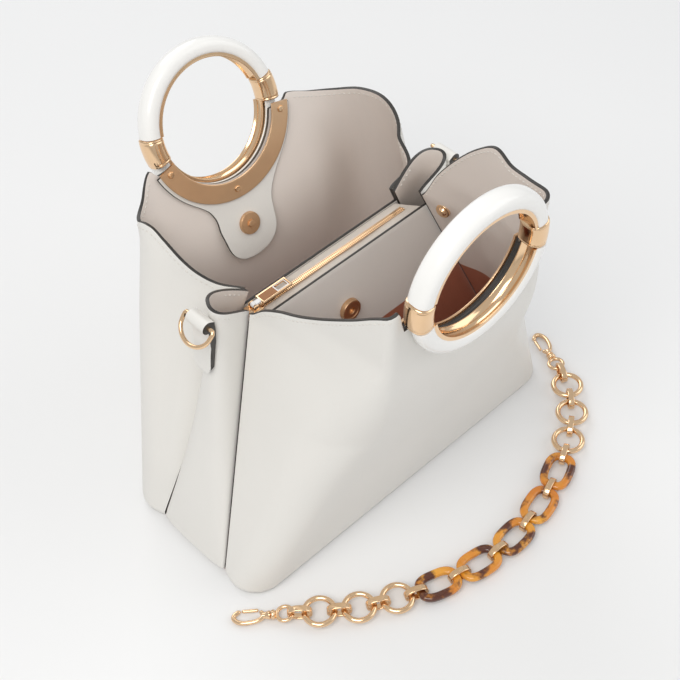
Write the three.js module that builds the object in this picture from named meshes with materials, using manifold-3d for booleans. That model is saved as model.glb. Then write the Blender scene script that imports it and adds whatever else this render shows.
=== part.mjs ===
// Winged leather satchel with two ring handles, a zipped centre pocket and a loose chain strap.
// Millimetres. X is the bag's length, Y its depth (front at -Y), Z up from the floor.
import * as THREE from 'three';
import { mergeVertices } from 'three/addons/utils/BufferGeometryUtils.js';
import Module from 'manifold-3d';

const wasm = await Module();
wasm.setup();

// Bag body.
const L = 290;            // base length
const D = 130;            // base depth
const H = 185;            // height of the side seams' tops
const T = 2.4;            // leather wall
const GAP = 0.3;          // clearance between touching pieces
const BASE_T = 3;         // base panel
const SEAM_Z = H * 1.025;                    // tops of the side seams
// Half length and half gap at the seams' tops.
const SEAM_TOP = { front: [L * 0.256, L * 0.0317], back: [L * 0.218, L * 0.0317] };
const SEAM_LOW = [L * 0.49, D * 0.262];      // the same at the base
const CORNER_LOW_R = L * 0.066;
const LEAF = [L * 0.099, H * 1.124, L * 0.0103];  // gusset fold: reach past the seam, tip height, swell

// Ring handles: distance out at ring centre, height, outward lean in radians. Panels: top half length of
// the left and right corners, their rounding and inward bow, and the top edge's height over H at shares of
// the wing, from the ring (0) to the seam (1).
const RING_MID = L * 0.1605;                 // radius of the tube's middle
const TUBE = [RING_MID * 0.137, 7.5, 6];     // tube half widths: along the radius, along the axis, lower half
const PLATE = [RING_MID * 0.92, RING_MID * 1.197, 1.5];
const FLAT = RING_MID * 1.25;                // half width of the flat about the ring
const CUT_R = PLATE[0];                      // panel cut round the hand hole
const CUFF = 0.19;                           // half angle of each cuff
const SIDES = {
  front: {
    s: -1, y: D * 0.93, z: H * 1.376, lean: 0.071,
    corner: [L * 0.256, L * 0.27], round: [L * 0.13, L * 0.124], bow: [0, L * 0.017],
    edge: [
      [1.408, 1.363, 1.299, 1.241, 1.193, 1.154, 1.127, 1.087, 1.025],
      [1.42, 1.42, 1.41, 1.4, 1.42, 1.36, 1.27, 1.16, 1.025],
    ],
  },
  back: {
    s: 1, y: D * 0.823, z: H * 1.25, lean: 0.356,
    corner: [L * 0.315, L * 0.39], round: [L * 0.097, L * 0.126], bow: [L * 0.0135, L * 0.0295],
    edge: [
      [1.21, 1.14, 1.13, 1.155, 1.125, 1.09, 1.058, 1.03, 1.025],
      [1.198, 1.156, 1.133, 1.139, 1.142, 1.118, 1.087, 1.048, 1.025],
    ],
  },
};

const mats = {};
function mat(key, color, metalness, roughness) {
  mats[key] ??= new THREE.MeshStandardMaterial({ color, metalness, roughness, name: key });
  return mats[key];
}
const leather = mat('leather', 0xece9e4, 0, 0.55);
const resin = mat('resin', 0xf3f2ee, 0, 0.3);
const gold = mat('gold', 0xd9ad7c, 1, 0.25);
const tortoise = mat('tortoise', 0xd59a30, 0, 0.25);
const cloth = mat('tape', 0xe8e6e0, 0, 0.8);
const group = new THREE.Group();

// Closed mesh from triangles, turned to face out whichever way it was wound.
function add(name, pts, tri, material) {
  let vol = 0;
  for (const [a, b, c] of tri) {
    const [p, q, r] = [pts[a], pts[b], pts[c]];
    const n = cross(q, r);
    vol += p[0] * n[0] + p[1] * n[1] + p[2] * n[2];
  }
  const g = new THREE.BufferGeometry();
  g.setAttribute('position', new THREE.Float32BufferAttribute(pts.flat(), 3));
  g.setIndex(tri.map(([a, b, c]) => (vol < 0 ? [a, c, b] : [a, b, c])).flat());
  g.computeVertexNormals();
  const m = new THREE.Mesh(g, material);
  m.name = name;
  group.add(m);
  return m;
}
const sub = (a, b) => [a[0] - b[0], a[1] - b[1], a[2] - b[2]];
const mul = (a, k) => [a[0] * k, a[1] * k, a[2] * k];
const plus = (...v) => v.reduce((a, b) => [a[0] + b[0], a[1] + b[1], a[2] + b[2]]);
const cross = (a, b) => [a[1] * b[2] - a[2] * b[1], a[2] * b[0] - a[0] * b[2], a[0] * b[1] - a[1] * b[0]];
const unit = (a) => mul(a, 1 / Math.hypot(...a));
const lerp = (a, b, t) => a + (b - a) * t;
const smooth = (t) => { const k = Math.min(1, Math.max(0, t)); return k * k * (3 - 2 * k); };
function table(rows, t) {
  const k = Math.min(rows.length - 1.0001, Math.max(0, t * (rows.length - 1)));
  const i = Math.floor(k);
  return lerp(rows[i], rows[i + 1], k - i);
}

// Sheet of thickness t about a grid of middle points P[column][row].
function sheet(name, P, t, material) {
  const nc = P.length, nr = P[0].length, pts = [], tri = [];
  const normal = (i, j) => {
    const a = sub(P[Math.min(i + 1, nc - 1)][j], P[Math.max(i - 1, 0)][j]);
    const b = sub(P[i][Math.min(j + 1, nr - 1)], P[i][Math.max(j - 1, 0)]);
    return unit(cross(a, b));
  };
  for (const k of [0.5, -0.5])
    P.forEach((col, i) => col.forEach((p, j) => pts.push(plus(p, mul(normal(i, j), t * k)))));
  const at = (k, i, j) => k * nc * nr + i * nr + j;
  const quad = (a, b, c, d) => tri.push([a, b, c], [a, c, d]);
  for (let i = 0; i < nc - 1; i++) for (let j = 0; j < nr - 1; j++) {
    quad(at(0, i, j), at(0, i + 1, j), at(0, i + 1, j + 1), at(0, i, j + 1));
    quad(at(1, i, j), at(1, i, j + 1), at(1, i + 1, j + 1), at(1, i + 1, j));
  }
  for (let i = 0; i < nc - 1; i++) {
    quad(at(0, i, 0), at(1, i, 0), at(1, i + 1, 0), at(0, i + 1, 0));
    quad(at(0, i, nr - 1), at(0, i + 1, nr - 1), at(1, i + 1, nr - 1), at(1, i, nr - 1));
  }
  for (let j = 0; j < nr - 1; j++) {
    quad(at(0, 0, j), at(0, 0, j + 1), at(1, 0, j + 1), at(1, 0, j));
    quad(at(0, nc - 1, j), at(1, nc - 1, j), at(1, nc - 1, j + 1), at(0, nc - 1, j + 1));
  }
  return add(name, pts, tri, material);
}

// Section [out, along b] swept along a flat path with normal b; open paths get end caps.
// Out is away from the centre c where one is given.
function sweep(name, path, b, section, closed, material, c) {
  const n = path.length, m = section.length, pts = [], tri = [];
  for (let i = 0; i < n; i++) {
    const p0 = closed ? path[(i + n - 1) % n] : path[Math.max(i - 1, 0)];
    const p1 = closed ? path[(i + 1) % n] : path[Math.min(i + 1, n - 1)];
    const out = c ? unit(sub(path[i], c)) : cross(unit(sub(p1, p0)), b);
    for (const [o, h] of section) pts.push(plus(path[i], mul(out, o), mul(b, h)));
  }
  for (let i = 0; i < (closed ? n : n - 1); i++) for (let j = 0; j < m; j++) {
    const i1 = (i + 1) % n, j1 = (j + 1) % m;
    tri.push([i * m + j, i * m + j1, i1 * m + j1], [i * m + j, i1 * m + j1, i1 * m + j]);
  }
  if (!closed) for (let j = 1; j < m - 1; j++) {
    tri.push([0, j + 1, j], [(n - 1) * m, (n - 1) * m + j, (n - 1) * m + j + 1]);
  }
  return add(name, pts, tri, material);
}
const ngon = (n, a, b, turn = 0.5) => Array.from({ length: n }, (_, k) => {
  const t = ((k + turn) / n) * 2 * Math.PI;
  return [a * Math.cos(t), b * Math.sin(t)];
});

// A closed three.js geometry as a manifold-3d solid, which only joins and cuts.
function solid(geometry) {
  geometry.deleteAttribute('normal');
  geometry.deleteAttribute('uv');
  const g = mergeVertices(geometry, 1e-4);
  const triVerts = new Uint32Array(g.index.array);
  const mesh = { numProp: 3, vertProperties: g.attributes.position.array, triVerts };
  return new wasm.Manifold(new wasm.Mesh(mesh));
}
const box = (x, y, z, at = [0, 0, 0]) => solid(new THREE.BoxGeometry(x, y, z).translate(...at));
// Round piece along Z from z = 0 to h, or along Y or X about its own middle.
const disc = (h, r0, r1, n, at = [0, 0, 0]) =>
  solid(new THREE.CylinderGeometry(r1, r0, h, n).rotateX(Math.PI / 2).translate(at[0], at[1], at[2] + h / 2));
const pinY = (h, r, n, at = [0, 0, 0]) => solid(new THREE.CylinderGeometry(r, r, h, n).translate(...at));
const pinX = (x0, x1, r0, r1, n) =>
  solid(new THREE.CylinderGeometry(r0, r1, x1 - x0, n).rotateZ(Math.PI / 2).translate((x0 + x1) / 2, 0, 0));
// Outline of [x, y] points, with holes, extruded to depth h about z = 0.
function slab(outline, h, holes = []) {
  const v2 = (pts) => pts.map(([x, y]) => new THREE.Vector2(x, y));
  const shape = new THREE.Shape(v2(outline));
  holes.forEach((pts) => shape.holes.push(new THREE.Path(v2(pts))));
  const body = new THREE.ExtrudeGeometry(shape, { depth: h, bevelEnabled: false });
  return solid(body.translate(0, 0, -h / 2));
}
// A joined or cut solid as a mesh, set by the place of its origin and its x and y directions.
function place(name, piece, o, ex, ey, material) {
  const { vertProperties, triVerts, numProp } = piece.getMesh();
  const g = new THREE.BufferGeometry();
  g.setAttribute('position', new THREE.InterleavedBufferAttribute(
    new THREE.InterleavedBuffer(vertProperties, numProp), 3, 0));
  g.setIndex([...triVerts]);
  g.computeVertexNormals();
  const m = new THREE.Mesh(g, material);
  const axes = [ex, ey, cross(ex, ey)].map((v) => new THREE.Vector3(...v));
  m.quaternion.setFromRotationMatrix(new THREE.Matrix4().makeBasis(...axes));
  m.position.set(...o);
  m.name = name;
  group.add(m);
}
const X = [1, 0, 0], Y = [0, 1, 0], Z = [0, 0, 1];

// Side seam half length and half gap at height z.
const seam = (side, z) => [0, 1].map((i) => lerp(SEAM_LOW[i], SEAM_TOP[side][i], Math.min(z / SEAM_Z, 1)));
// Panel middle: straight lean, bent by the share near of it to lie in the ring's plane.
function panelY(side, near, z) {
  const q = SIDES[side], slope = (q.y - D / 2) / q.z;
  const flat = q.z - RING_MID * 1.3, k = Math.tan(q.lean) - slope;
  let bend;
  if (z >= flat) bend = (z - q.z) * k;
  else {
    const z0 = flat * 0.35, u = Math.max(0, (z - z0) / (flat - z0));
    bend = (u * u * (3 - 2 * u)) * (flat - q.z) * k + u * u * (u - 1) * (flat - z0) * k;
  }
  return D / 2 + slope * z + bend * near;
}
// Half section at height z, from beside the ring round the corner to the seam.
function wing(side, hand, z) {
  const q = SIDES[side], t = z / H, yc = D / 2 + ((q.y - D / 2) / q.z) * z;
  const xc = lerp(L / 2, q.corner[hand], Math.min(t, 1.15));
  const r = Math.min(lerp(CORNER_LOW_R, q.round[hand], Math.min(t, 1.2)), xc - FLAT - 1);
  const [xs, ys] = seam(side, z), cx = xc - r, cy = yc - r;
  const dx = xs - cx, dy = ys - cy, d = Math.hypot(dx, dy);
  const end = Math.atan2(dy, dx) + Math.acos(Math.min(1, r / d));
  const pts = [];
  for (let k = 0; k < 5; k++) pts.push([lerp(FLAT, cx, k / 5), yc]);
  for (let k = 0; k <= 8; k++) {
    const a = lerp(Math.PI / 2, end, k / 8);
    pts.push([cx + r * Math.cos(a), cy + r * Math.sin(a)]);
  }
  const [ex, ey] = pts[pts.length - 1];
  const bow = q.bow[hand] * Math.min(t, 1.1), w = unit([ys - ey, ex - xs, 0]);
  for (let k = 1; k <= 6; k++) {
    const u = k / 6, b = -bow * 16 * (u * (1 - u)) ** 2;
    pts.push([lerp(ex, xs, u) + w[0] * b, lerp(ey, ys, u) + w[1] * b]);
  }
  return pts;
}
function wingPoint(side, hand, share, z) {
  const pts = wing(side, hand, z);
  const len = [0];
  for (let i = 1; i < pts.length; i++) {
    len.push(len[i - 1] + Math.hypot(pts[i][0] - pts[i - 1][0], pts[i][1] - pts[i - 1][1]));
  }
  const want = share * len[len.length - 1];
  let i = 1;
  while (i < len.length - 1 && len[i] < want) i++;
  const k = (want - len[i - 1]) / (len[i] - len[i - 1]);
  const x = lerp(pts[i - 1][0], pts[i][0], k), y = lerp(pts[i - 1][1], pts[i][1], k);
  return [x, y + panelY(side, 1 - smooth(share * 2.5), z) - panelY(side, 0, z)];
}

// Front and back panels: columns across, rows from the base up to the cut top edge.
const LOW = BASE_T + 3 * GAP;
const WING_COLS = 10;
for (const side of ['front', 'back']) {
  const q = SIDES[side];
  const cuffZ = q.z - PLATE[1] * Math.sin(CUFF + 0.04);
  const rows = (top) => [0, 0.12, 0.3, 0.5, 0.68, 0.84, 0.93, 1].map((k) => lerp(LOW, top, k));
  const half = (hand, sx) => {
    const inner = [0, 1, 2, 3, 4, 5, 6].map((k) => {
      const x = CUT_R * Math.sin((k / 6) * Math.PI / 2);
      const drop = Math.sqrt(Math.max(0, CUT_R * CUT_R - x * x)) * Math.cos(q.lean);
      return [x, Math.min(q.z - drop, cuffZ)];
    });
    inner.push([FLAT - 1.5 * T, cuffZ]);
    const grid = inner.map(([x, top]) => rows(top).map((z) => [sx * x, q.s * panelY(side, 1, z), z]));
    for (let k = 0; k <= WING_COLS; k++) {
      grid.push(rows(table(q.edge[hand], k / WING_COLS) * H).map((z) => {
        const p = wingPoint(side, hand, k / WING_COLS, z);
        return [sx * p[0], q.s * p[1], z];
      }));
    }
    return grid;
  };
  sheet(`${side}_panel`, [...half(0, -1).reverse(), ...half(1, 1).slice(1)], T, leather);
}

// Gussets: a fold that swells outward to an open leaf at the top. Angle a runs from front (-) to back.
const RIDGE_LOW = 2.5;
function gussetPoint(a, z) {
  const t = z / SEAM_Z, [xf, ys] = seam('front', z), xb = seam('back', z)[0];
  const reach = lerp(RIDGE_LOW, LEAF[0], Math.min(t, 1) ** 1.15);
  const c = Math.abs(Math.cos(a)) ** 0.8, s = Math.sign(Math.sin(a)) * Math.abs(Math.sin(a)) ** 0.8;
  const swell = LEAF[2] * t * t * Math.sin(2 * a);
  return [lerp(xf, xb, (s + 1) / 2) + reach * c, (ys - T / 2 - 5 * GAP) * s + swell, z];
}
for (const [name, sx] of [['gusset_left', -1], ['gusset_right', 1]]) {
  const cols = [];
  for (let i = 0; i <= 12; i++) {
    const a = lerp(-Math.PI / 2, Math.PI / 2, i / 12);
    const top = lerp(SEAM_Z, LEAF[1], Math.cos(a) ** 0.7);
    cols.push([0, 0.15, 0.35, 0.55, 0.75, 0.9, 1].map((k) => {
      const p = gussetPoint(a, lerp(LOW, top, k));
      return [sx * p[0], p[1], p[2]];
    }));
  }
  sheet(name, cols, T, leather);
}

// Base panel: the outline of the walls at the floor.
{
  const ring = [];
  const corners = [['front', 0, true], ['front', 1, false], ['back', 1, true], ['back', 0, false]];
  for (const [side, hand, back] of corners) {
    const sx = hand ? 1 : -1;
    const pts = wing(side, hand, 0).map(([x, y]) => [sx * (x + T / 2), SIDES[side].s * (y + T / 2)]);
    ring.push(...(back ? pts.reverse() : pts));
  }
  place('base_panel', slab(ring, BASE_T), [0, 0, BASE_T / 2], X, Y, leather);
}

// Centre pocket: one sheet down the front wall, across and up the back wall, its ends clear of the gussets.
const WALL = 1.8, POCKET_LOW = H * 0.24, POCKET_TOP = H * 0.965;
const wallY = (z) => seam('front', z)[1] - T / 2 - WALL / 2;
const pocketHalf = (f, z) => lerp(seam('front', z)[0], seam('back', z)[0], (f + 1) / 2) - 2 * GAP;
{
  const prof = [];
  for (const k of [1, 0.75, 0.5, 0.25, 0.05]) prof.push([-1, lerp(POCKET_LOW, POCKET_TOP, k)]);
  prof.push([-0.8, POCKET_LOW], [0, POCKET_LOW - 1], [0.8, POCKET_LOW]);
  for (const k of [0.05, 0.25, 0.5, 0.75, 1]) prof.push([1, lerp(POCKET_LOW, POCKET_TOP, k)]);
  const shares = [-1, -0.6, -0.2, 0.2, 0.6, 1];
  const cols = shares.map((k) => prof.map(([f, z]) => [k * pocketHalf(f, z), f * wallY(z), z]));
  sheet('pocket', cols, WALL, leather);
}
// Zip: tape wider at the front, teeth, and an end tab in the left gusset's mouth; slider and pull.
const TAPE_T = 1.2, TAPE_Z = POCKET_TOP - 2.2, TAPE_HALF = wallY(POCKET_TOP) - WALL / 2 - GAP;
const TEETH = [4.4, 1.2], SLIDER_X = -L * 0.224;
{
  const [f, b] = ['front', 'back'].map((side) => seam(side, POCKET_TOP)[0] - 3);
  const tape = [[-f, -TAPE_HALF], [f, -TAPE_HALF], [b, TAPE_HALF], [-b, TAPE_HALF]];
  const end = box(18, 6, TAPE_T, [-f - 1, 0, 0]);
  const teeth = box(2 * b + 8, TEETH[0], TEETH[1], [-4, 0, (TAPE_T + TEETH[1]) / 2 - 0.1]);
  place('zip', slab(tape, TAPE_T).add(end).add(teeth), [0, 0, TAPE_Z], X, Y, cloth);
}
const SLIDER_Z = TAPE_Z + TAPE_T / 2 + TEETH[1] + GAP, PIVOT = 4.5;
const PULL = { t: 1.6, root: 3.4, w: 8.5, len: 24, x: 17, window: [8, 4.5, 22.5], knuckle: 1.8, hole: 1.1 };
{
  const body = box(10, 9, 2, [0, 0, 1]);
  const ears = [2.7, -2.7].map((y) => box(4, 1.2, 4, [0, y, 3.2]));
  const slider = body.add(ears[0]).add(ears[1]).add(pinY(5, 0.7, 8, [0, 0, PIVOT]));
  place('zip_slider', slider, [SLIDER_X, 0, SLIDER_Z], X, Y, gold);
  const neck = box(4.4, PULL.root, PULL.t, [3, 0, 0]);
  const bar = pinY(PULL.root, PULL.knuckle, 10).add(neck).add(box(PULL.len, PULL.w, PULL.t, [PULL.x, 0, 0]));
  const [wx, wy, at] = PULL.window;
  const cut = bar.subtract(box(wx, wy, 4, [at, 0, 0])).subtract(pinY(8, PULL.hole, 10));
  place('zip_pull', cut, [SLIDER_X, 0, SLIDER_Z + PIVOT], X, Y, gold);
}

// Ring handles, their plates, tongues and snaps. In a ring's plane, at(r, a) is a point by radius and angle.
const PLATE_END = CUFF + 0.04, RIVETS = [-0.33, -1.67, -2.82];
const TONGUE_T = 1.8, TONGUE_OFF = T / 2 + GAP + TONGUE_T / 2;
const TONGUE_X = -5;                         // how far the tongue hangs to one side
const SNAP_DROP = RING_MID * 1.6;
// The tongue and its margin under the plate: reach over RING_MID by degrees from straight down.
const TONGUE_HALF = [[3, 2.16], [8, 2.1], [12.5, 1.95], [16, 1.7], [20, 1.47], [25, 1.35], [31, 1.28],
  [40, 1.245], [58, 1.235], [76, 1.235]];
const TONGUE = [...TONGUE_HALF.map(([deg, reach]) => [-deg, reach]).reverse(), ...TONGUE_HALF];
for (const side of ['front', 'back']) {
  const q = SIDES[side], c = [0, q.s * q.y, q.z];
  const [sin, cos] = [Math.sin(q.lean), Math.cos(q.lean)];
  const up = [0, q.s * sin, cos], n = [0, q.s * cos, -sin];
  const at = (r, a) => plus(c, mul(X, r * Math.cos(a)), mul(up, r * Math.sin(a)));
  const arc = (r, a0, a1, k) => Array.from({ length: k + 1 }, (_, i) => at(r, lerp(a0, a1, i / k)));
  // Eight-sided tube section, its middle moved outward along the axis.
  const flat = 1 / Math.cos(Math.PI / 8);
  const tube = (half, mid, grow) =>
    ngon(8, (TUBE[0] + grow) * flat, (half + grow) * flat).map(([o, h]) => [o, mid + h]);
  const eps = (GAP + 0.1) / RING_MID, low = T / 2 + GAP + TUBE[2], high = low - TUBE[2] + TUBE[1] - 4;
  const from = CUFF + eps, to = Math.PI - CUFF - eps;
  sweep(`handle_${side}_grip`, arc(RING_MID, from, to, 18), n, tube(TUBE[1], high, 0), false, resin, c);
  sweep(`handle_${side}_rest`, arc(RING_MID, -from, -to, 18), n, tube(TUBE[2], low, 0), false, resin, c);
  for (const [tag, a] of [['right', 0], ['left', Math.PI]]) {
    const path = arc(RING_MID, a - CUFF, a + CUFF, 4);
    sweep(`handle_${side}_cuff_${tag}`, path, n, tube(TUBE[1], high, 0.8), false, gold, c);
  }
  // Plate: flat arc on the inner face of the leather, three rivet heads.
  const plateH = -(TONGUE_OFF + TONGUE_T / 2 + GAP + PLATE[2] / 2);
  const bow = (r) => Array.from({ length: 21 }, (_, i) => {
    const a = lerp(-PLATE_END, PLATE_END - Math.PI, i / 20);
    return [r * Math.cos(a), r * Math.sin(a)];
  });
  let plate = slab([...bow(PLATE[1]), ...bow(PLATE[0]).reverse()], PLATE[2]);
  const rm = (PLATE[0] + PLATE[1]) / 2, head = 0.9;
  for (const a of RIVETS) {
    const foot = [-rm * Math.cos(a), rm * Math.sin(a), -PLATE[2] / 2 - head + 0.05];
    plate = plate.add(disc(head, 1.6, 2.4, 6, foot));
  }
  place(`handle_${side}_plate`, plate, plus(c, mul(n, plateH)), cross(up, n), up, gold);
  // Tongue: from under the plate down along the panel, drawn away from it lower down.
  const lie = (x, drop) => {
    const z = q.z - drop * Math.cos(q.lean);
    const off = TONGUE_OFF + 3.5 * smooth((drop - PLATE[1]) / RING_MID);
    return [x, q.s * (panelY(side, 1, z) - off / Math.cos(q.lean)), z];
  };
  const cols = TONGUE.map(([deg, reach]) => [0, 0.34, 0.67, 1].map((k) => {
    const r = lerp(CUT_R + 1, reach * RING_MID, k), a = (deg / 180) * Math.PI;
    return lie(r * Math.sin(a) + q.s * TONGUE_X * smooth((r - PLATE[1]) / 20), r * Math.cos(a));
  }));
  sheet(`tongue_${side}`, cols, TONGUE_T, leather);
  // Snap disc on the tongue's inner face, square to it.
  const [above, sc, below] = [-6, 0, 6].map((d) => lie(q.s * TONGUE_X, SNAP_DROP + d));
  const sn = unit(mul(cross(X, sub(above, below)), q.s));
  const snap = disc(1.6, 8, 7.4, 14).add(disc(3, 3, 2.4, 6));
  place(`tongue_${side}_snap`, snap, plus(sc, mul(sn, TONGUE_T / 2 + 4 * GAP)), X, cross(sn, X), gold);
}

// Magnet on the pocket's front wall, and the stud inside the front right wing.
{
  const z = H * 0.76, tilt = (wallY(z - 10) - wallY(z + 10)) / 20;
  const n = unit([0, -1, tilt]), p = [0, -wallY(z), z];
  const magnet = disc(3.4, 8, 7.4, 14).subtract(disc(2, 2.4, 2.4, 8, [0, 0, 2]));
  place('pocket_magnet', magnet, plus(p, mul(n, WALL / 2 + GAP)), X, cross(n, X), gold);
}
{
  const z = H * 0.99, a = wingPoint('front', 1, 0.86, z), b = wingPoint('front', 1, 0.88, z);
  const along = unit([b[0] - a[0], -(b[1] - a[1]), 0]), n = cross(along, Z);
  const inward = n[0] < 0 ? n : mul(n, -1);
  const stud = disc(1.2, 5.2, 5, 12).add(disc(2.6, 3, 2, 10));
  const foot = plus([a[0], -a[1], z], mul(inward, T / 2 + GAP + 1));
  place('wing_stud', stud, foot, along, cross(inward, along), gold);
}

// D-ring tabs on the gusset folds and the D-rings in them.
const TAB_W = 16.5, BAR = [5.2, H * 1.075], TAB_LOW = H * 0.85, ROLL = 4.3;
for (const [name, sx] of [['left', -1], ['right', 1]]) {
  const fold = (z) => Math.max(...[-0.9, -0.6, -0.3, 0].map((a) => gussetPoint(a, z)[0]));
  const ridge = (z) => fold(z) + T / 2 + GAP + 0.4;
  const bz = BAR[1], bx = ridge(bz) + BAR[0];
  const prof = [[0, 0.2], [0.4, 2], [18, 3.6]].map(([up, out]) => [ridge(TAB_LOW + up) + out, TAB_LOW + up]);
  prof.push([bx + 0.4, bz - ROLL]);
  for (let i = 0; i <= 8; i++) {
    const a = lerp(-Math.PI * 0.42, Math.PI * 0.72, i / 8);
    prof.push([bx + ROLL * Math.cos(a), bz + ROLL * Math.sin(a)]);
  }
  prof.push([ridge(bz + 2), bz + 2], [ridge(TAB_LOW + 22), TAB_LOW + 22]);
  const eyelet = ngon(10, 2.1, 2.1).map(([x, z]) => [bx + x, bz + z]);
  place(`dring_tab_${name}`, slab(prof, TAB_W, [eyelet]), [0, 0, 0], [sx, 0, 0], Z, leather);
  // D-ring: straight bar along Y in the tab, bow hanging outward.
  const hang = unit([sx * 0.68, 0, -0.73]), half = 13, wire = 1.4, path = [];
  const put = (y, d) => path.push(plus([sx * bx, y, bz], mul(hang, d)));
  [-1, -0.5, 0.5, 1].forEach((k) => put(half * k, 0));
  for (let i = 1; i < 10; i++) {
    const a = (i / 10) * Math.PI;
    put(half * Math.cos(a), 4 + 11.5 * Math.sin(a));
  }
  sweep(`dring_${name}`, path, unit(cross(Y, hang)), ngon(6, wire, wire), true, gold);
}

// Chain strap laid on the floor along this path, from the left hook to the right one.
const PATH = [[-140, -83], [-130, -92], [-119, -102], [-108, -111], [-98, -118.5], [-87, -125], [-74, -132],
  [-62, -138], [-46, -144], [-30, -148.5], [-14, -151.5], [2, -153.5], [18, -153], [34, -151], [49, -147.5],
  [64.5, -143], [80, -137], [92, -131.5], [104, -125], [114, -118.5], [124.4, -111], [132, -103.5],
  [139.7, -94.7], [146, -86], [151, -76], [155, -65], [159, -52], [163, -38]].map(([x, y]) => [(x * L) / 290, (y * D) / 130]);
const route = PATH.map(([x, y]) => new THREE.Vector3(x, y, 0));
const curve = new THREE.CatmullRomCurve3(route, false, 'centripetal');
const curveLen = curve.getLength();
const onPath = (d) => { const p = curve.getPointAt(Math.min(1, d / curveLen)); return [p.x, p.y]; };
// Each link by half lengths along and across the chain, to the wire's middle, and the wire's half sizes: in
// its own plane and square to it. Links of ribbon stand upright and hold the flat ones.
const RING = { reach: 10.1, half: 10.1, slack: 2.1, w: 1.9, h: 1.9, power: 2, n: 14, z: 6, material: gold };
const SHELL = { reach: 13, half: 8.3, slack: 0.9, w: 2.9, h: 2.1, power: 3, n: 14, z: 6, material: tortoise };
const LINK = { reach: 7.7, half: 5, w: 0.75, h: 2.1, power: 2, n: 12, z: 5.9, material: gold };
const EYE = { reach: 5.3, half: 5.3, slack: 1, w: 1.3, h: 1.3 };
const kinds = { ring: RING, shell: SHELL, link: LINK };
// How far apart the middles of a flat link and an upright one lie, the wires held just apart.
const step = (flat) => flat.reach + LINK.reach - LINK.w - flat.w - flat.slack;
const order = ['link', 'ring', 'link', 'ring', 'link', 'ring', 'link'];
for (let i = 0; i < 5; i++) order.push('shell', 'link');
order.push('ring', 'link', 'ring', 'link', 'ring', 'link');
const oval = (c, u, v, a, b, n, power) => Array.from({ length: n }, (_, k) => {
  const t = ((k + 0.5) / n) * 2 * Math.PI;
  const [p, q] = [Math.cos(t), Math.sin(t)].map((g) => Math.sign(g) * Math.abs(g) ** (2 / power));
  return plus(c, mul(u, a * p), mul(v, b * q));
});
const START = 16.2;
const counts = {};
let dist = START;
order.forEach((kind, i) => {
  if (i) dist += step(kinds[kind === 'link' ? order[i - 1] : kind]);
  const q = kinds[kind], [x, y] = onPath(dist), f = onPath(dist + 3), g = onPath(dist - 3);
  const u = unit([f[0] - g[0], f[1] - g[1], 0]), v = cross(Z, u);
  counts[kind] = (counts[kind] ?? 0) + 1;
  const name = `chain_${kind}_${String(counts[kind]).padStart(2, '0')}`;
  const [across, b] = kind === 'link' ? [Z, v] : [v, Z];
  const wire = kind === 'link' ? ngon(6, q.w, q.h, 0) : ngon(6, q.w, q.h);
  sweep(name, oval([x, y, q.z], u, across, q.reach, q.half, q.n, q.power), b, wire, true, q.material);
});
const END = dist;
// Snap hooks: a flat eye through the last link, a swivel and a gated hook, its far end down on the floor.
const HOOK = { len: 23, half: 6.2, wire: 1.5, slope: -0.09 }, BARREL = [3, 3.2], POST = 1.1;
const MOUTH = [7.5, 20];
for (const [tag, d, dir] of [['left', START, -1], ['right', END, 1]]) {
  const c0 = onPath(d), c1 = onPath(d + 4 * dir);
  const u = unit([...unit([c1[0] - c0[0], c1[1] - c0[1], 0]).slice(0, 2), HOOK.slope]);
  const v = unit(mul(cross(u, Z), -dir));
  const e = plus([c0[0], c0[1], RING.z], mul(u, step(EYE)));
  const hoop = (a, b, n, x) => ngon(n, a, b).map(([px, py]) => [px + x, py]);
  const eye = slab(hoop(EYE.reach + EYE.w, EYE.half + EYE.w, 12, 0), 2 * EYE.h,
    [hoop(EYE.reach - EYE.w, EYE.half - EYE.w, 12, 0)]);
  const x0 = EYE.reach + EYE.w - 0.4, x1 = x0 + BARREL[0], hx = x1 + GAP;
  const swivel = pinX(x0, x1, BARREL[1], BARREL[1], 10).add(pinX(x0, x1 + 4, POST, POST, 8));
  place(`hook_eye_${tag}`, eye.add(swivel), e, u, v, gold);
  // Hook: a base bored for the swivel's post, then a long eye, open on the side of its gate.
  const mid = hx + 3.4 + HOOK.len / 2, w = HOOK.wire, m = MOUTH.map((k) => k + hx);
  const [outer, inner] = [0, 2 * w].map((k) => hoop(HOOK.len / 2 - k, HOOK.half - k, 16, mid));
  const gap = box(m[1] - m[0], 8, 8, [(m[0] + m[1]) / 2, 5, 0]);
  const bore = pinX(hx - 1, hx + 4.5, POST + GAP, POST + GAP, 8);
  const body = slab(outer, 2 * w, [inner]).subtract(gap).add(pinX(hx, hx + 5.4, 2.9, 2.3, 10)).subtract(bore);
  place(`hook_body_${tag}`, body, e, u, v, gold);
  const g0 = m[0] + 0.45, g1 = m[1] - 0.45, gw = 1.1, round = [];
  for (let k = 0; k <= 6; k++) {
    const a = Math.PI / 2 + (k / 6) * Math.PI;
    round.push([g0 + gw + gw * Math.cos(a), gw * Math.sin(a)]);
  }
  const gate = slab([...round, [g1, -gw], [g1, gw]], 2.4).translate(0, HOOK.half - w - 0.6, 0);
  place(`hook_gate_${tag}`, gate, e, u, v, gold);
}

export default group;
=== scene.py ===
# Off-white winged satchel, open, with ring handles and its chain strap laid on the floor in front.
# Metres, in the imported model's frame: X is the bag's length, the front is at -Y, Z is up.
import math

import bpy
import numpy as np
from mathutils import Matrix, Vector


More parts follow.
